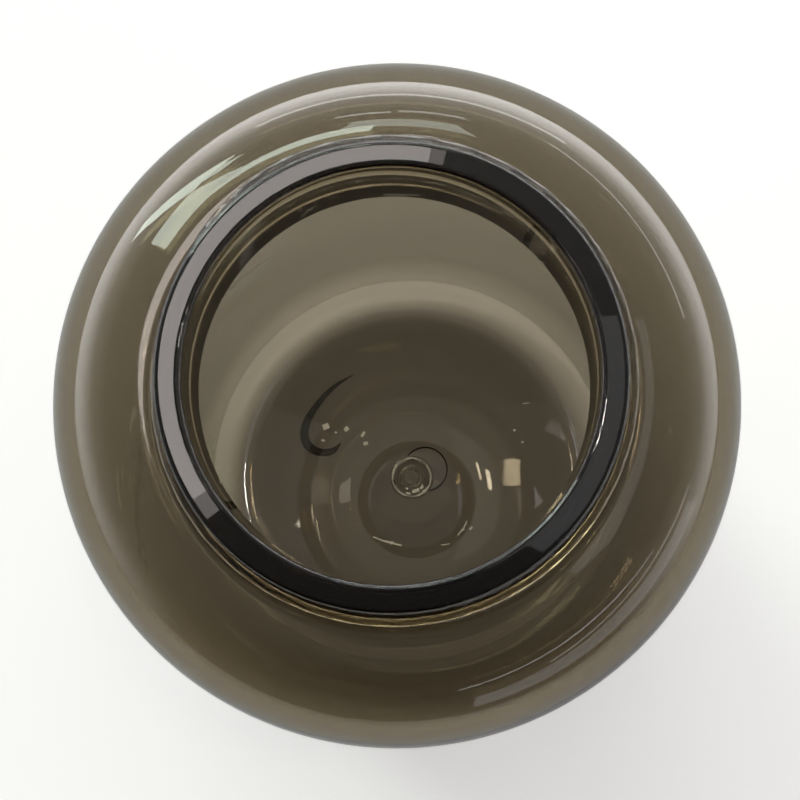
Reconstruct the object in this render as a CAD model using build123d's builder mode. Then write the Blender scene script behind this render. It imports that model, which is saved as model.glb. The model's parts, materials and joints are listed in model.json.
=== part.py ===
"""Wide-mouth centrifuge bottle, nominal 250 ml, moulded in one piece and standing on its base with its axis on Z.

The whole bottle is one wall. A narrow foot ring stands round a domed floor, a straight body slides into a rotor
cavity, a round shoulder leads to a short neck, and the neck carries a coarse closure thread. Under the floor are
the stub where the mould was filled and the shallow well beside it.
"""

import os
from math import cos, radians, sin, tan

from build123d import *

# Body, in millimetres
bottle_height = 124.5
body_diameter = 61.8
body_wall = 1.9

# Foot and floor, whose dome leaves the bottle standing on a ring
foot_corner_radius = 7.0
foot_ring_width = 2.5
foot_ring_edge_radius = 2.0
floor_thickness = 2.3
floor_rise = 1.7

# Shoulder: a short slope, measured below the horizontal, between the round body corner and the neck's foot
shoulder_wall = 1.9
shoulder_slope = 5.0
shoulder_flat = 0.9

# Neck and its flat lip, which has rounded edges
neck_height = 9.3
neck_wall = 2.35
neck_foot_radius = 2.4
mouth_diameter = 33.3
mouth_foot_radius = 0.8
lip_flat = 1.1

# Closure thread, right-handed, with a tapered run-in and run-out
thread_pitch = 4.2
thread_turns = 1.35
thread_depth = 1.05
thread_root_width = 2.3
thread_flank_angle = 25.0
thread_below_lip = 2.4
thread_start_angle = 35.0
thread_taper_angle = 40.0
thread_section_angle = 15.0

# Filling stub under the floor, with the dimple that the sprue left in its end
stub_diameter = 5.8
stub_clearance = 0.6
stub_edge_radius = 0.25
dimple_diameter = 2.8
dimple_depth = 0.45

# Shallow well that the stub stands in, a little off the axis
well_diameter = 6.8
well_depth = 0.35
well_offset = (2.0, 1.3)

# How far a raised detail is rooted in the wall that carries it
root_sink = 0.5

body_radius = body_diameter / 2
mouth_radius = mouth_diameter / 2
neck_radius = mouth_radius + neck_wall
cavity_radius = body_radius - body_wall
foot_ring_radius = body_radius - foot_corner_radius - foot_ring_width
lip_radius = (neck_wall - lip_flat) / 2

# The slope meets the neck and the body at two corners, and their round fillets share its length
slope = radians(shoulder_slope)
slope_length = (body_radius - neck_radius) / cos(slope)
tangent_per_radius = tan((radians(90) - slope) / 2)
fillets_room = (slope_length - shoulder_flat) / tangent_per_radius
neck_fillet = min(neck_foot_radius, fillets_room / 3)
shoulder_fillet = fillets_room - neck_fillet


def shoulder_z(radius):
    """Height of the shoulder's outer slope at a radius, as if it ran on in a straight line."""
    return bottle_height - neck_height - (radius - neck_radius) * tan(slope)


def ceiling_z(radius):
    """Height of the shoulder's inner slope at a radius."""
    return shoulder_z(radius) - shoulder_wall / cos(slope)


def inner_fillet(outer_radius, wall):
    """Radius of the inner corner that keeps the wall even round an outer corner."""
    return max(outer_radius - wall, wall / 4)


def dome(rim_radius, rim_z):
    """Half of a domed floor's arc, from its crown on the axis down to its rim."""
    arc_radius = (rim_radius**2 + floor_rise**2) / (2 * floor_rise)
    return RadiusArc((0, rim_z + floor_rise), (rim_radius, rim_z), arc_radius)


def corner(sketch, radius, height):
    """The vertex of a profile at a radius and a height."""
    return sketch.vertices().sort_by_distance(Vector(radius, height, 0))[0]


def thread_plane(turned):
    """The plane through the axis at an angle along the thread, with its origin on the neck's wall."""
    around = radians(thread_start_angle + turned)
    outward = (cos(around), sin(around), 0)
    along = (-sin(around), cos(around), 0)
    rise = thread_pitch * turned / 360
    lowest = bottle_height - thread_below_lip - thread_pitch * thread_turns
    on_wall = (neck_radius * cos(around), neck_radius * sin(around), lowest + rise)
    return Plane(origin=on_wall, x_dir=outward, z_dir=along)


def thread_fullness(turned):
    """Share of the full depth at an angle along the thread: 1 between its tapers and little at its ends."""
    from_end = min(turned, 360 * thread_turns - turned)
    return min(1, max(0.05, from_end / thread_taper_angle))


with BuildPart() as bottle:
    # Outside: foot ring, body, shoulder and neck, filled to the axis
    with BuildSketch(Plane.XZ) as outside:
        with BuildLine():
            floor_below = dome(foot_ring_radius, 0)
            Polyline(
                floor_below @ 1,
                (body_radius, 0),
                (body_radius, shoulder_z(body_radius)),
                (neck_radius, shoulder_z(neck_radius)),
                (neck_radius, bottle_height),
                (0, bottle_height),
                floor_below @ 0,
            )
        make_face()
        fillet(corner(outside, foot_ring_radius, 0), foot_ring_edge_radius)
        fillet(corner(outside, body_radius, 0), foot_corner_radius)
        fillet(corner(outside, body_radius, shoulder_z(body_radius)), shoulder_fillet)
        fillet(corner(outside, neck_radius, shoulder_z(neck_radius)), neck_fillet)
    revolve(axis=Axis.Z)

    # Inside: floor, cavity and straight mouth, open at the top
    with BuildSketch(Plane.XZ) as inside:
        with BuildLine():
            floor_above = dome(cavity_radius, floor_thickness)
            Polyline(
                floor_above @ 1,
                (cavity_radius, ceiling_z(cavity_radius)),
                (mouth_radius, ceiling_z(mouth_radius)),
                (mouth_radius, bottle_height),
                (0, bottle_height),
                floor_above @ 0,
            )
        make_face()
        fillet(corner(inside, cavity_radius, floor_thickness), inner_fillet(foot_corner_radius, body_wall))
        fillet(corner(inside, cavity_radius, ceiling_z(cavity_radius)), inner_fillet(shoulder_fillet, body_wall))
        fillet(corner(inside, mouth_radius, ceiling_z(mouth_radius)), mouth_foot_radius)
    revolve(axis=Axis.Z, mode=Mode.SUBTRACT)

    # Lip: both edges of the mouth rounded, with a flat ring between them
    fillet(bottle.edges().group_by(Axis.Z)[-1], lip_radius)

    # Thread: one ridge wound round the neck, lofted through sections that shrink towards its ends
    section_count = round(360 * thread_turns / thread_section_angle)
    flank = radians(thread_flank_angle)
    for section in range(section_count + 1):
        turned = 360 * thread_turns * section / section_count
        depth = thread_depth * thread_fullness(turned)
        half_crest = thread_root_width / 2 - depth * tan(flank)
        half_sunk = thread_root_width / 2 + root_sink * tan(flank)
        with BuildSketch(thread_plane(turned)):
            with BuildLine():
                Polyline(
                    (-root_sink, -half_sunk),
                    (depth, -half_crest),
                    (depth, half_crest),
                    (-root_sink, half_sunk),
                    close=True,
                )
            make_face()
    loft()

    # Well: a flat round recess cut up into the domed floor
    with BuildSketch(Plane.XY):
        with Locations(well_offset):
            Circle(well_diameter / 2)
    extrude(amount=floor_rise + well_depth, mode=Mode.SUBTRACT)

    # Stub: a short post on the axis that ends clear of the ground, dimpled in its end
    with BuildSketch(Plane.XY.offset(stub_clearance)):
        Circle(stub_diameter / 2)
    extrude(amount=floor_rise + well_depth + root_sink - stub_clearance)
    stub_end = bottle.faces().filter_by(Plane.XY).sort_by_distance((0, 0, stub_clearance))[0]
    fillet(stub_end.edges(), stub_edge_radius)
    with BuildSketch(Plane.XY.offset(stub_clearance)):
        Circle(dimple_diameter / 2)
    extrude(amount=dimple_depth, taper=20, mode=Mode.SUBTRACT)

bottle.part.label = "bottle"

os.makedirs("parts", exist_ok=True)
export_step(bottle.part, "parts/bottle.step")
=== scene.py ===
import json
from math import atan2, cos, hypot, pi, radians, sin, tan

import bmesh
import bpy
from mathutils import Matrix, Vector


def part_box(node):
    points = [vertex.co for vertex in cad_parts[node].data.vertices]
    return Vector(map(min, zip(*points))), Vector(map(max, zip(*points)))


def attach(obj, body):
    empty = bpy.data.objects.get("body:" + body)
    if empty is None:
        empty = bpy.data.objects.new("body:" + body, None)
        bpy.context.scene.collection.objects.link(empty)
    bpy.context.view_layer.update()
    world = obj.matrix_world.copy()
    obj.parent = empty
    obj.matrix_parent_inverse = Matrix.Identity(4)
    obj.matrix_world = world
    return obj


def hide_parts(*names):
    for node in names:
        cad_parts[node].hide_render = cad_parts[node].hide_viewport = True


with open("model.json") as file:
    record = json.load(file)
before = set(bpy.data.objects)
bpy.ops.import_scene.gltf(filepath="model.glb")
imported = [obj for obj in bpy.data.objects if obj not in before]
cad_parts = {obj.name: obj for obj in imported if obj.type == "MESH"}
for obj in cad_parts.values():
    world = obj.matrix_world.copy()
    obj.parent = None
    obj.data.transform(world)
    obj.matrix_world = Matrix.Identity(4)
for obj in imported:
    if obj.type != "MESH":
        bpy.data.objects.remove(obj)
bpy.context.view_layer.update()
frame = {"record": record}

# -----------------------------------------------------------------------------------------------------------
# Camera: it stands almost straight above the open mouth, a little to the near side of the bottle's axis, and
# leans back by a few degrees, so that the floor of the bottle is seen through its neck.
# -----------------------------------------------------------------------------------------------------------

MM = 0.001
IMAGE_WIDTH = 800
FOCAL_LENGTH_PIXELS = 1700
SENSOR_WIDTH = 36
CAMERA_ACROSS = 3.48 * MM
CAMERA_NEAR = -17.46 * MM
CAMERA_ABOVE_LIP = 133.23 * MM
CAMERA_LEAN_BACK = radians(6.54)
CAMERA_LEAN_LEFT = radians(1.18)

mounts = {mount["name"]: mount for mount in frame["record"]["mounts"]}
lip_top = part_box("bottle")[1][2]

camera_data = bpy.data.cameras.new("camera")
camera_data.sensor_width = SENSOR_WIDTH
camera_data.lens = SENSOR_WIDTH * FOCAL_LENGTH_PIXELS / IMAGE_WIDTH
camera = bpy.data.objects.new("camera", camera_data)
camera.location = (CAMERA_ACROSS, CAMERA_NEAR, lip_top + CAMERA_ABOVE_LIP)
camera.rotation_euler = (CAMERA_LEAN_BACK, CAMERA_LEAN_LEFT, 0)
bpy.context.collection.objects.link(camera)
bpy.context.scene.camera = camera
bpy.context.scene.view_settings.view_transform = "Standard"

# -----------------------------------------------------------------------------------------------------------
# Bottle: one wall of clear smoky plastic, blown in a polished mould. It is a profile spun round its axis:
# foot ring, domed floor, straight body, round shoulder, short neck and flat lip. Sizes are in millimetres.
# -----------------------------------------------------------------------------------------------------------

HEIGHT = lip_top / MM
BODY_RADIUS = mounts["barrel"]["dims"]["r_mm"]
MOUTH_RADIUS = mounts["mouth"]["dims"]["r_mm"]
THREAD_CREST_RADIUS = mounts["neck_thread"]["dims"]["r_mm"]

BODY_WALL = 1.9
SHOULDER_WALL = 1.9
NECK_WALL = 2.35
FLOOR_THICKNESS = 2.3
FLOOR_RISE = 1.7
FOOT_CORNER_RADIUS = 7.0
FOOT_RING_WIDTH = 2.5
NECK_HEIGHT = 9.3
NECK_FOOT_RADIUS = 2.4
MOUTH_FOOT_RADIUS = 0.8
LIP_FLAT = 1.45
LIP_FALL = radians(5.2)  # the lip's flat falls outward
SHOULDER_SLOPE = radians(5)
SHOULDER_FLAT = 0.9
STUB_RADIUS = 2.9
STUB_CLEARANCE = 0.6
STUB_EDGE_RADIUS = 0.25
DIMPLE_RADIUS = 1.4
DIMPLE_DEPTH = 0.45
DIMPLE_TAPER = radians(20)

NECK_RADIUS = MOUTH_RADIUS + NECK_WALL
CAVITY_RADIUS = BODY_RADIUS - BODY_WALL
FOOT_RING_RADIUS = BODY_RADIUS - FOOT_CORNER_RADIUS - FOOT_RING_WIDTH
TANGENT_PER_RADIUS = tan((pi / 2 - SHOULDER_SLOPE) / 2)
SLOPE_LENGTH = (BODY_RADIUS - NECK_RADIUS) / cos(SHOULDER_SLOPE)
SHOULDER_RADIUS = (SLOPE_LENGTH - SHOULDER_FLAT) / TANGENT_PER_RADIUS - NECK_FOOT_RADIUS
LIP_RADIUS = (NECK_WALL - LIP_FLAT) / 2
LIP_INNER_CORNER = HEIGHT + LIP_RADIUS * (tan(LIP_FALL) + 1 / cos(LIP_FALL) - 1)
LIP_OUTER_CORNER = LIP_INNER_CORNER - NECK_WALL * tan(LIP_FALL)

SPIN_STEPS = 200
NEAR = 0.01  # how far off a surface a point may be and still count as on it


def shoulder_z(radius):
    """Height of the shoulder's outer slope at a radius, as if it ran on in a straight line."""
    return HEIGHT - NECK_HEIGHT - (radius - NECK_RADIUS) * tan(SHOULDER_SLOPE)


def ceiling_z(radius):
    """Height of the shoulder's inner slope at a radius."""
    return shoulder_z(radius) - SHOULDER_WALL / cos(SHOULDER_SLOPE)


def underside_z(radius):
    """Height of the domed underside at a radius."""
    return FLOOR_RISE * (1 - (radius / FOOT_RING_RADIUS) ** 2)


# Corners of the profile, from the axis under the floor, up the outside and back down the inside. Each has a
# radius, a height, and the rounding of the corner with its number of segments. The flats are cut up further
# where relief needs rows.
WELL_REACH = 6.6
GATE_REACH = 3.6
THREAD_FOOT = HEIGHT - NECK_HEIGHT
CORNERS = (
    (0, STUB_CLEARANCE + DIMPLE_DEPTH, 0, 0),
    (DIMPLE_RADIUS - DIMPLE_DEPTH * tan(DIMPLE_TAPER), STUB_CLEARANCE + DIMPLE_DEPTH, 0.12, 3),
    (DIMPLE_RADIUS, STUB_CLEARANCE, 0.12, 3),
    (STUB_RADIUS, STUB_CLEARANCE, STUB_EDGE_RADIUS, 4),
    (STUB_RADIUS, underside_z(STUB_RADIUS), 0.2, 4),
    (WELL_REACH, underside_z(WELL_REACH), 0, 0),
    (FOOT_RING_RADIUS, 0, 0, 0),
    (BODY_RADIUS, 0, FOOT_CORNER_RADIUS, 16),
    (BODY_RADIUS, shoulder_z(BODY_RADIUS), SHOULDER_RADIUS, 22),
    (NECK_RADIUS, shoulder_z(NECK_RADIUS), NECK_FOOT_RADIUS, 24),
    (NECK_RADIUS, LIP_OUTER_CORNER, LIP_RADIUS, 8),
    (MOUTH_RADIUS, LIP_INNER_CORNER, LIP_RADIUS, 8),
    (MOUTH_RADIUS, ceiling_z(MOUTH_RADIUS), MOUTH_FOOT_RADIUS, 6),
    (CAVITY_RADIUS, ceiling_z(CAVITY_RADIUS), SHOULDER_RADIUS - BODY_WALL, 20),
    (CAVITY_RADIUS, FLOOR_THICKNESS, FOOT_CORNER_RADIUS - BODY_WALL, 14),
    (GATE_REACH, FLOOR_THICKNESS, 0, 0),
    (0, FLOOR_THICKNESS, 0, 0),
)


def round_corner(wire, vertex, radius, segments):
    """Rounds one corner of a wire profile. The bevel starts where an arc of that radius touches its edges."""
    before, after = [edge.other_vert(vertex).co - vertex.co for edge in vertex.link_edges]
    reach = radius / tan(before.angle(after) / 2)
    bmesh.ops.bevel(
        wire,
        geom=[vertex],
        offset=reach,
        offset_type="OFFSET",
        segments=segments,
        profile=0.5,
        affect="VERTICES",
        material=-1,
    )


# The longest edge that the profile may have on each stretch: short where the surface has relief.
THREAD_ROW = 0.13
WELL_ROW = 0.15
GATE_ROW = 0.1
FLOOR_ROW = 1.4
PLAIN_ROW = 10.0
THREAD_ROWS_END = HEIGHT - 0.8
UNDERSIDE_TOP = FLOOR_RISE + 0.1


def longest_row(middle):
    """The longest edge that the profile may have at a place."""
    if abs(middle.x - NECK_RADIUS) < NEAR and THREAD_FOOT < middle.z < THREAD_ROWS_END:
        return THREAD_ROW
    if middle.z < UNDERSIDE_TOP and STUB_RADIUS < middle.x < WELL_REACH:
        return WELL_ROW
    if abs(middle.z - FLOOR_THICKNESS) < NEAR and middle.x < GATE_REACH:
        return GATE_ROW
    if middle.x < CAVITY_RADIUS - FOOT_CORNER_RADIUS + BODY_WALL:
        return FLOOR_ROW
    return PLAIN_ROW


def ridge_height(around, height):
    """How far the closure thread, a rounded trapezoid, stands off the neck at an angle and a height."""
    lowest = HEIGHT - THREAD_BELOW_LIP - THREAD_PITCH * THREAD_TURNS
    stands = 0.0
    for lap in range(2):
        turned = (around - THREAD_START) % (2 * pi) + 2 * pi * lap
        left = 2 * pi * THREAD_TURNS - turned
        if left < 0:
            continue
        fullness = min(1, min(turned, left) / THREAD_TAPER)
        full_depth = (THREAD_CREST_RADIUS - NECK_RADIUS) * fullness
        off_line = abs(height - lowest - THREAD_PITCH * turned / (2 * pi))
        flank = full_depth * tan(THREAD_FLANK) + 0.001
        share = min(1, max(0, (THREAD_ROOT_WIDTH / 2 - off_line) / flank))
        stands = max(stands, full_depth * share * share * (3 - 2 * share))
    return stands


# Each long flat gets a row close to its ends, so that the soft shading of the roundings stays off it.
SUPPORT = 0.12
LONG_FLAT = 0.85

wall = bmesh.new()
corners = [wall.verts.new((radius, 0, height)) for radius, height, rounding, segments in CORNERS]
for start, end in zip(corners, corners[1:]):
    wall.edges.new((start, end))
for corner, (radius, height, rounding, segments) in zip(corners, CORNERS):
    if rounding:
        round_corner(wall, corner, rounding, segments)
for edge in wall.edges[:]:
    start, end = edge.verts
    length = (end.co - start.co).length
    rows = int(length / longest_row((start.co + end.co) / 2))
    if length > LONG_FLAT:
        bmesh.utils.edge_split(edge, start, SUPPORT / length)
        bmesh.utils.edge_split(edge, end, SUPPORT / (length - SUPPORT))
    if rows:
        bmesh.ops.subdivide_edges(wall, edges=[edge], cuts=rows)

bmesh.ops.spin(
    wall,
    geom=wall.verts[:] + wall.edges[:],
    axis=(0, 0, 1),
    cent=(0, 0, 0),
    dvec=(0, 0, 0),
    angle=2 * pi,
    steps=SPIN_STEPS,
    use_merge=True,
    use_duplicate=False,
)
bmesh.ops.remove_doubles(wall, verts=wall.verts[:], dist=0.0005)

# Relief in the wall: the dome of the floor, the gate's uneven rim and inner ring on it, the closure thread,
# and the shallow well beside the filling stub.
THREAD_PITCH = 4.2
THREAD_TURNS = 1.35
THREAD_ROOT_WIDTH = 2.3
THREAD_FLANK = radians(25)
THREAD_BELOW_LIP = 2.4
THREAD_START = radians(35)
THREAD_TAPER = radians(40)
WELL_CENTRE = Vector((2.0, 1.3))
WELL_RADIUS = 3.4
WELL_DEPTH = 0.35
WELL_WALL = 0.25
STUB_MARGIN = 0.15
THREAD_END = HEIGHT - 1.2
RIM_RADIUS = 2.85
RIM_HEIGHT = 0.2
RIM_REACH = 0.38
INNER_RING_RADIUS = 1.55
INNER_RING_HEIGHT = 0.12
INNER_RING_REACH = 0.3
MOTTLE_HEIGHT = 0.06
MOTTLE_REACH = 2.8


def rounded_bump(distance, reach):
    """A bump of height 1 that falls softly to 0 at its reach."""
    share = max(0, 1 - abs(distance) / reach)
    return share * share * (3 - 2 * share)


for vertex in wall.verts:
    x, y, z = vertex.co
    radius = hypot(x, y)
    around = atan2(y, x)
    inside = z >= FLOOR_THICKNESS - NEAR
    if inside and z < FLOOR_THICKNESS + FOOT_CORNER_RADIUS and radius <= CAVITY_RADIUS + NEAR:
        vertex.co.z += FLOOR_RISE * (1 - (radius / CAVITY_RADIUS) ** 2)
        if radius < GATE_REACH:
            uneven = 1 + 0.35 * sin(3 * around + 1) + 0.25 * sin(7 * around)
            mottled = sin(6 * x + 3 * sin(5 * y)) * sin(7 * y + 1)
            vertex.co.z += RIM_HEIGHT * uneven * rounded_bump(radius - RIM_RADIUS, RIM_REACH)
            vertex.co.z += INNER_RING_HEIGHT * rounded_bump(radius - INNER_RING_RADIUS, INNER_RING_REACH)
            vertex.co.z += MOTTLE_HEIGHT * mottled * rounded_bump(radius, MOTTLE_REACH)
    elif radius > NECK_RADIUS - NEAR and THREAD_FOOT < z < THREAD_END:
        stands = NECK_RADIUS + ridge_height(around, z)
        if stands > radius:
            vertex.co.x *= stands / radius
            vertex.co.y *= stands / radius
    elif STUB_RADIUS + STUB_MARGIN < radius < FOOT_RING_RADIUS and z < FLOOR_THICKNESS:
        if radius > WELL_REACH:
            vertex.co.z = underside_z(radius)
        from_well = (Vector((x, y)) - WELL_CENTRE).length
        share = min(1, max(0, (WELL_RADIUS - from_well) / WELL_WALL))
        vertex.co.z += WELL_DEPTH * share * share * (3 - 2 * share)

bmesh.ops.scale(wall, vec=(MM, MM, MM), verts=wall.verts[:])
bmesh.ops.recalc_face_normals(wall, faces=wall.faces[:])
for face in wall.faces:
    face.smooth = True
bottle_mesh = bpy.data.meshes.new("bottle_wall")
wall.to_mesh(bottle_mesh)
wall.free()
bottle = bpy.data.objects.new("bottle_wall", bottle_mesh)
bpy.context.collection.objects.link(bottle)


def linear(hex_colour):
    """An sRGB colour such as "8a7d5e" as the linear values that Blender's sockets take."""
    channels = [int(hex_colour[at : at + 2], 16) / 255 for at in (0, 2, 4)]
    curved = [c / 12.92 if c <= 0.04045 else ((c + 0.055) / 1.055) ** 2.4 for c in channels]
    return (*curved, 1.0)


def add_node(tree, kind, settings=None, links=None):
    """Adds a node, sets its properties and sockets by name, and links its inputs to other nodes' outputs."""
    node = tree.nodes.new(kind)
    for name, value in (settings or {}).items():
        if hasattr(node, str(name)):
            setattr(node, name, value)
        else:
            node.inputs[name].default_value = value
    for name, source in (links or {}).items():
        tree.links.new(source, node.inputs[name])
    return node


# Clear smoky polysulfone, blown against polished steel: glossy and see-through, and the longer the way
# through it, the darker and browner its olive.
PLASTIC_IOR = 1.6
TINT = (0.45, 0.365, 0.17, 1.0)
TINT_PER_METRE = 650

plastic = bpy.data.materials.new("smoky_clear_polysulfone_polished")
plastic.use_nodes = True
tree = plastic.node_tree
tree.nodes.clear()
surface = add_node(
    tree,
    "ShaderNodeBsdfPrincipled",
    {
        "Base Color": (1.0, 1.0, 1.0, 1.0),
        "Roughness": 0.015,
        "IOR": PLASTIC_IOR,
        "Transmission Weight": 1.0,
    },
)
smoke = add_node(tree, "ShaderNodeVolumeAbsorption", {"Color": TINT, "Density": TINT_PER_METRE})
add_node(
    tree,
    "ShaderNodeOutputMaterial",
    {},
    {"Surface": surface.outputs["BSDF"], "Volume": smoke.outputs["Volume"]},
)
bottle_mesh.materials.append(plastic)

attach(bottle, "root")
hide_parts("bottle")

# -----------------------------------------------------------------------------------------------------------
# Marks in the floor: a curled mark, drawn as a near-black streak inside the plastic whose dark colour is
# painted shade, and pale specks and scratches on its upper face. The scratches are whitened plastic; the
# specks, and a ring of them on the gate's rim, are painted glints. Sizes are in millimetres.
# -----------------------------------------------------------------------------------------------------------

STREAK_HEIGHT = 2.0
STREAK_HALF_DEPTH = 0.3
STREAK = (
    (-8.4, 15.9, 0.0),
    (-11.5, 14.0, 0.3),
    (-13.7, 11.8, 0.42),
    (-15.6, 9.0, 0.56),
    (-16.2, 6.6, 0.64),
    (-15.5, 4.8, 0.68),
    (-13.8, 3.9, 0.58),
    (-11.9, 4.1, 0.48),
    (-10.5, 5.5, 0.0),
)
STREAK_STATIONS = 48
STREAK_AHEAD = 0.01
STREAK_SIDES = 12


def on_streak(share):
    """The place and half width of the streak at a share of its length: a smooth line through its points."""
    step = min(share * (len(STREAK) - 1), len(STREAK) - 1.0001)
    at, t = int(step), step - int(step)
    points = [Vector(STREAK[min(max(at + shift, 0), len(STREAK) - 1)]) for shift in (-1, 0, 1, 2)]
    a, b, c, d = points
    return 0.5 * (2 * b + (c - a) * t + (2 * a - 5 * b + 4 * c - d) * t**2 + (3 * b - a - 3 * c + d) * t**3)


# The streak's near-black colour, set below, is painted shade.
streak = bmesh.new()
bmesh.ops.create_grid(streak, x_segments=STREAK_STATIONS, y_segments=STREAK_SIDES, size=0.5)
for vertex in streak.verts:
    share, turn = vertex.co.x + 0.5, (vertex.co.y + 0.5) * 2 * pi
    here, ahead = on_streak(share), on_streak(min(1, share + STREAK_AHEAD))
    if share > 1 - STREAK_AHEAD:
        ahead = here + (here - on_streak(share - STREAK_AHEAD))
    side = Vector((here.y - ahead.y, ahead.x - here.x)).normalized()
    half = max(0, here.z) if 0 < share < 1 else 0
    depth = min(half, STREAK_HALF_DEPTH)
    x, y = here.x + side.x * half * cos(turn), here.y + side.y * half * cos(turn)
    vertex.co = (x, y, STREAK_HEIGHT + depth * sin(turn))
bmesh.ops.remove_doubles(streak, verts=streak.verts[:], dist=0.001)
bmesh.ops.scale(streak, vec=(MM, MM, MM), verts=streak.verts[:])
bmesh.ops.recalc_face_normals(streak, faces=streak.faces[:])
for face in streak.faces:
    face.smooth = True
streak_mesh = bpy.data.meshes.new("curled_mark_painted_shade")
streak.to_mesh(streak_mesh)
streak.free()
curled_mark_painted_shade = bpy.data.objects.new("curled_mark_painted_shade", streak_mesh)
bpy.context.collection.objects.link(curled_mark_painted_shade)

# Painted shade: nearly black olive, standing in for the dark seen where the floor bends light away at the
# mark;
# it looks soft and dull through the clear floor.
curled_mark_shade_material = bpy.data.materials.new("near_black_painted_shade")
curled_mark_shade_material.use_nodes = True
tree = curled_mark_shade_material.node_tree
tree.nodes.clear()
surface = add_node(tree, "ShaderNodeBsdfPrincipled", {"Base Color": linear("2e2b20"), "Roughness": 0.6})
add_node(tree, "ShaderNodeOutputMaterial", {}, {"Surface": surface.outputs["BSDF"]})
streak_mesh.materials.append(curled_mark_shade_material)
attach(curled_mark_painted_shade, "root")

# Scratches and painted glints: centre, length, width and the angle each lies at. The long thin ones are
# scratches; the short pale specks are painted glints. A broken ring of short painted glints lies on the
# gate's rim, standing in for its bright edge.
SCRATCHES_AND_PAINTED_GLINTS = (
    (-12.9, 7.7, 0.95, 0.85, 20),
    (-9.8, 7.3, 0.7, 0.62, 40),
    (-11.4, 6.8, 0.35, 0.25, 0),
    (-7.3, 6.5, 0.9, 0.4, 60),
    (-6.9, 5.1, 0.65, 0.5, 10),
    (-13.3, 5.6, 0.5, 0.25, -10),
    (-4.9, -9.2, 1.9, 0.2, -22),
    (-3.6, -9.6, 1.1, 0.3, -12),
    (-2.3, -9.95, 1.7, 0.26, -14),
    (-3.0, -9.75, 0.6, 0.3, 40),
    (7.2, -8.2, 1.2, 0.2, 52),
    (7.9, -7.2, 1.5, 0.18, 64),
    (7.6, -7.9, 0.7, 0.18, 20),
    (8.8, -7.6, 0.6, 0.3, 45),
    (5.0, -10.0, 1.3, 0.12, 8),
    (17.2, 11.2, 1.0, 0.14, 5),
    (15.4, 7.1, 0.35, 0.3, 0),
    (16.6, 5.3, 0.35, 0.25, 30),
    (0.6, -2.0, 1.1, 0.5, 20),
    (1.5, -1.5, 0.6, 0.35, 50),
    (-0.7, -1.7, 0.35, 0.3, -30),
    (-0.5, -2.4, 0.7, 0.3, -15),
)
SPECK_THICKNESS = 0.06
RIM_PAINTED_GLINTS = 22
RIM_GLINT_LENGTH = 0.78
RIM_GLINT_WIDTH = 0.16

# The rim ring: short pale specks, painted glints that stand in for the gate rim's bright edge.
rim_painted_glints = []
for step in range(RIM_PAINTED_GLINTS):
    azimuth = step * 360 / RIM_PAINTED_GLINTS
    turned = radians(azimuth)
    width = RIM_GLINT_WIDTH + 0.07 * sin(5 * turned) + 0.05 * cos(2 * turned + 1)
    x, y = RIM_RADIUS * cos(turned), RIM_RADIUS * sin(turned)
    rim_painted_glints.append((x, y, RIM_GLINT_LENGTH, width, 90 + azimuth))

# Each scratch and painted glint is a thin pale box lying on the floor's upper face.
scratch_and_glint_boxes = bmesh.new()
for x, y, length, width, angle in (*SCRATCHES_AND_PAINTED_GLINTS, *rim_painted_glints):
    top = FLOOR_THICKNESS + FLOOR_RISE * (1 - (hypot(x, y) / CAVITY_RADIUS) ** 2)
    if hypot(x, y) < GATE_REACH:
        top += RIM_HEIGHT
    place = Matrix.Translation((x, y, top)) @ Matrix.Rotation(radians(angle), 4, "Z")
    bmesh.ops.create_cube(scratch_and_glint_boxes, size=1, matrix=place @ Matrix.Diagonal((length, width, SPECK_THICKNESS, 1)))
bmesh.ops.scale(scratch_and_glint_boxes, vec=(MM, MM, MM), verts=scratch_and_glint_boxes.verts[:])
scratch_and_glint_mesh = bpy.data.meshes.new("scratch_and_glint_boxes")
scratch_and_glint_boxes.to_mesh(scratch_and_glint_mesh)
scratch_and_glint_boxes.free()
scratch_and_glint_object = bpy.data.objects.new("scratch_and_glint_boxes", scratch_and_glint_mesh)
bpy.context.collection.objects.link(scratch_and_glint_object)

# Pale dull white: on the scratches it is whitened polysulfone; on the specks and the rim ring it is a painted
# glint. It looks pale and dull on the dark floor.
scratch_and_glint_white = bpy.data.materials.new("scratch_white_and_painted_glints")
scratch_and_glint_white.use_nodes = True
tree = scratch_and_glint_white.node_tree
tree.nodes.clear()
surface = add_node(tree, "ShaderNodeBsdfPrincipled", {"Base Color": linear("fbf8f0"), "Roughness": 0.5})
add_node(tree, "ShaderNodeOutputMaterial", {}, {"Surface": surface.outputs["BSDF"]})
scratch_and_glint_mesh.materials.append(scratch_and_glint_white)
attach(scratch_and_glint_object, "root")

# -----------------------------------------------------------------------------------------------------------
# Studio: a white paper table, a room that is dim overhead and bright low down on its far side, and soft
# lamps: a thin ring, a window and its tube on the far side, small skylights, and low lamps at the sides.
# -----------------------------------------------------------------------------------------------------------

TABLE_SIZE = 2.4
TABLE_DROP = 0.03 * MM
PAPER_GLOW_SEEN = 0.36
PAPER_GLOW_THROUGH_PLASTIC = 0.085

table_shape = bmesh.new()
bmesh.ops.create_grid(table_shape, x_segments=1, y_segments=1, size=TABLE_SIZE / 2)
bmesh.ops.translate(table_shape, vec=(0, 0, -TABLE_DROP), verts=table_shape.verts[:])
table_mesh = bpy.data.meshes.new("table")
table_shape.to_mesh(table_mesh)
table_shape.free()
table = bpy.data.objects.new("table", table_mesh)
bpy.context.collection.objects.link(table)

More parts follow.
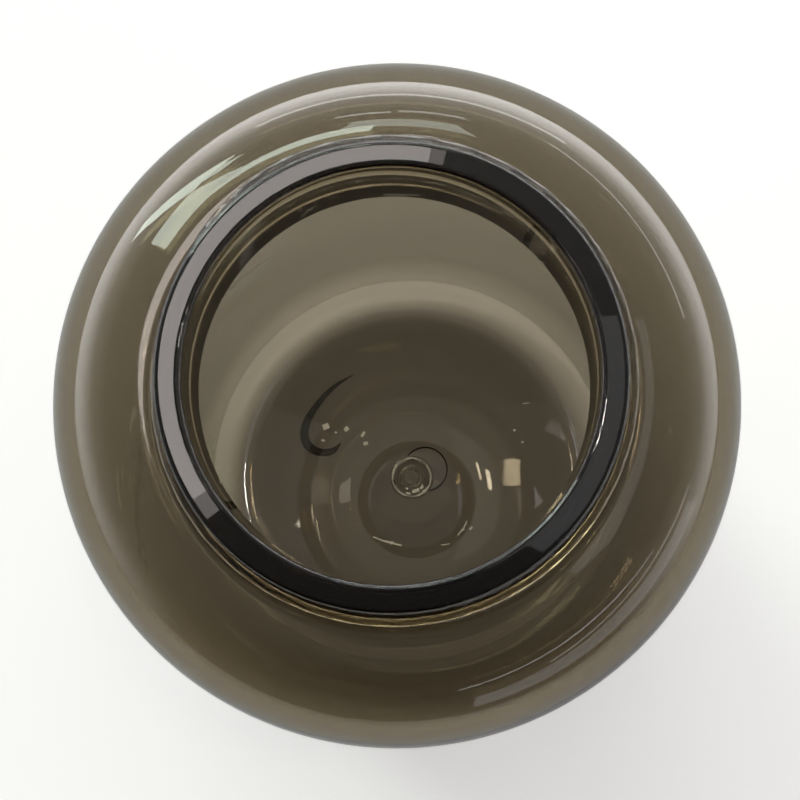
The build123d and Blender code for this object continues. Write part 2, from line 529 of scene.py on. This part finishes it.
# White paper, matt. A little glow of its own keeps it white round the bottle and seen through it.
white = bpy.data.materials.new("white_paper")
white.use_nodes = True
tree = white.node_tree
tree.nodes.clear()
path = add_node(tree, "ShaderNodeLightPath")
direct = add_node(
    tree, "ShaderNodeMath", {"operation": "MULTIPLY", 1: PAPER_GLOW_SEEN}, {0: path.outputs["Is Camera Ray"]}
)
through = add_node(
    tree,
    "ShaderNodeMath",
    {"operation": "MULTIPLY", 1: PAPER_GLOW_THROUGH_PLASTIC},
    {0: path.outputs["Is Transmission Ray"]},
)
fill = add_node(tree, "ShaderNodeMath", {"operation": "ADD"}, {0: direct.outputs[0], 1: through.outputs[0]})
paper = add_node(tree, "ShaderNodeBsdfDiffuse", {"Color": linear("f4f0f1")})
glow = add_node(tree, "ShaderNodeEmission", {"Color": (1, 1, 1, 1)}, {"Strength": fill.outputs[0]})
both = add_node(tree, "ShaderNodeAddShader", {}, {0: paper.outputs[0], 1: glow.outputs[0]})
add_node(tree, "ShaderNodeOutputMaterial", {}, {"Surface": both.outputs[0]})
table_mesh.materials.append(white)

# The room's light from straight down to straight up: height from 0 to 1, level, and how green it is. It all
# grows towards the far side. Behind the table and the plastic the room is plain white.
ROOM_LIGHT = (
    (0.0, 0.8, 1.0),
    (0.5, 2.5, 1.0),
    (0.56, 2.0, 1.0),
    (0.66, 0.7, 1.02),
    (0.8, 0.26, 1.03),
    (0.96, 0.22, 1.03),
    (1.0, 0.15, 1.0),
)

world = bpy.data.worlds.new("room")
bpy.context.scene.world = world
world.use_nodes = True
tree = world.node_tree
tree.nodes.clear()
where = add_node(tree, "ShaderNodeTexCoord")
split = add_node(tree, "ShaderNodeSeparateXYZ", {}, {0: where.outputs["Generated"]})
raise_up = add_node(
    tree, "ShaderNodeMapRange", {"From Min": -1.0, "From Max": 1.0}, {"Value": split.outputs["Z"]}
)
ramp = add_node(tree, "ShaderNodeValToRGB", {}, {"Fac": raise_up.outputs[0]})
stops = ramp.color_ramp.elements
stops.remove(stops[1])
for position, level, green in ROOM_LIGHT:
    stop = stops.new(position) if position else stops[0]
    stop.color = (level, green * level, 0.5 * (1 + green) * level, 1)
far_side = add_node(
    tree,
    "ShaderNodeMapRange",
    {"From Min": -0.7, "From Max": 1.0, "To Min": 0.05, "To Max": 2.35},
    {"Value": split.outputs["Y"]},
)
sky = add_node(
    tree,
    "ShaderNodeBackground",
    {},
    {"Color": ramp.outputs["Color"], "Strength": far_side.outputs[0]},
)
backdrop = add_node(tree, "ShaderNodeBackground", {"Color": (1, 1, 1, 1), "Strength": 1.0})
path = add_node(tree, "ShaderNodeLightPath")
seen = add_node(
    tree,
    "ShaderNodeMath",
    {"operation": "MAXIMUM"},
    {0: path.outputs["Is Camera Ray"], 1: path.outputs["Is Transmission Ray"]},
)
room = add_node(
    tree, "ShaderNodeMixShader", {}, {"Fac": seen.outputs[0], 1: sky.outputs[0], 2: backdrop.outputs[0]}
)
add_node(tree, "ShaderNodeOutputWorld", {}, {"Surface": room.outputs[0]})


LAMP_HEIGHT = 3.0
LAMP_DISTANCE = 1.0
RING_CENTRE = (-0.027, 0.144)
RING_RADIUS = 0.333
RING_WIDTH = 0.026
RING_TINT = "fff6f2"
DAYLIGHT = "f0fff0"
SKYLIGHT = "fff8e8"


def soft_panel(name, slopes, size, turned, radiance, tint="ffffff"):
    """Hangs a soft panel face down above the lip. Its place and size are slopes seen from the lip."""
    width, length = size[0] * LAMP_HEIGHT, size[1] * LAMP_HEIGHT
    data = bpy.data.lights.new(name, "AREA")
    data.shape = "RECTANGLE"
    data.size = width
    data.size_y = length
    data.energy = radiance * pi * width * length
    data.color = linear(tint)[:3]
    lamp = bpy.data.objects.new(name, data)
    lamp.location = (slopes[0] * LAMP_HEIGHT, slopes[1] * LAMP_HEIGHT, lip_top + LAMP_HEIGHT)
    lamp.rotation_euler = (0, 0, radians(turned))
    lamp.visible_camera = False
    bpy.context.collection.objects.link(lamp)


def standing_lamp(name, azimuth, elevation, size, radiance):
    """Stands a soft lamp round the lip, facing it. Its place and size are degrees seen from the lip."""
    width, height = (2 * LAMP_DISTANCE * tan(radians(extent) / 2) for extent in size)
    data = bpy.data.lights.new(name, "AREA")
    data.shape = "RECTANGLE"
    data.size = width
    data.size_y = height
    data.energy = radiance * pi * width * height
    lamp = bpy.data.objects.new(name, data)
    out, up = LAMP_DISTANCE * cos(radians(elevation)), LAMP_DISTANCE * sin(radians(elevation))
    lamp.location = (out * cos(radians(azimuth)), out * sin(radians(azimuth)), lip_top + up)
    lamp.rotation_euler = (radians(90 + elevation), 0, radians(azimuth - 270))
    lamp.visible_camera = False
    bpy.context.collection.objects.link(lamp)


def ring_lamp(name, start, end, radiance):
    """Hangs a piece of a thin ring lamp above the lip, between two compass angles in degrees."""
    shape = bmesh.new()
    bmesh.ops.create_grid(shape, x_segments=24, y_segments=1, size=0.5)
    for vertex in shape.verts:
        turned = radians(start + (vertex.co.x + 0.5) * (end - start))
        reach = RING_RADIUS + vertex.co.y * RING_WIDTH
        vertex.co.x = (RING_CENTRE[0] + reach * cos(turned)) * LAMP_HEIGHT
        vertex.co.y = (RING_CENTRE[1] + reach * sin(turned)) * LAMP_HEIGHT
        vertex.co.z = lip_top + LAMP_HEIGHT
    mesh = bpy.data.meshes.new(name)
    shape.to_mesh(mesh)
    shape.free()
    lamp = bpy.data.objects.new(name, mesh)
    bpy.context.collection.objects.link(lamp)
    lamp.visible_camera = False
    lit = bpy.data.materials.new(name)
    lit.use_nodes = True
    tree = lit.node_tree
    tree.nodes.clear()
    light = add_node(tree, "ShaderNodeEmission", {"Color": linear(RING_TINT), "Strength": radiance})
    add_node(tree, "ShaderNodeOutputMaterial", {}, {"Surface": light.outputs[0]})
    mesh.materials.append(lit)


ring_lamp("ring_start", 76, 80, 2.0)
ring_lamp("ring", 80, 214, 4.8)
ring_lamp("ring_end", 214, 220, 2.2)
soft_panel("window_low", (-0.75, 0.78), (0.7, 0.3), -34, 6.0, DAYLIGHT)
soft_panel("window_bar", (-0.27, 0.66), (0.4, 0.14), 0, 7.0, DAYLIGHT)
soft_panel("window_side", (0.0, 0.8), (0.3, 0.24), 0, 3.0, "f4fff4")
soft_panel("window_top_left", (-0.16, 1.25), (0.22, 0.08), 0, 4.0)
soft_panel("window_top_right", (0.12, 1.31), (0.28, 0.12), 5, 3.0)
soft_panel("tube", (-2.2, 1.94), (3.0, 0.3), -28, 8.0, DAYLIGHT)
soft_panel("tube_end", (-0.8, 1.17), (0.26, 0.14), -30, 6.0, DAYLIGHT)
soft_panel("skylight_quad", (0.181, 0.08), (0.03, 0.052), -3, 60.0, SKYLIGHT)
soft_panel("skylight_slit", (0.13, 0.092), (0.01, 0.04), -3, 60.0, SKYLIGHT)
soft_panel("skylight_left", (-0.175, 0.047), (0.07, 0.05), 8, 3.0)
soft_panel("right_glow", (0.2, 0.05), (0.25, 0.34), 0, 0.5)
standing_lamp("left_window", 200, 46, (9, 14), 2.5)
standing_lamp("far_tube_left", 88, 14, (54, 2.5), 4.0)
standing_lamp("far_tube_right", 42, 26, (38, 2.5), 3.0)
standing_lamp("near_right", -45, 8, (60, 14), 0.9)
standing_lamp("near_right_line", -35, 19, (44, 2), 1.8)
standing_lamp("near_right_edge", -52, 28, (46, 2.5), 2.5)
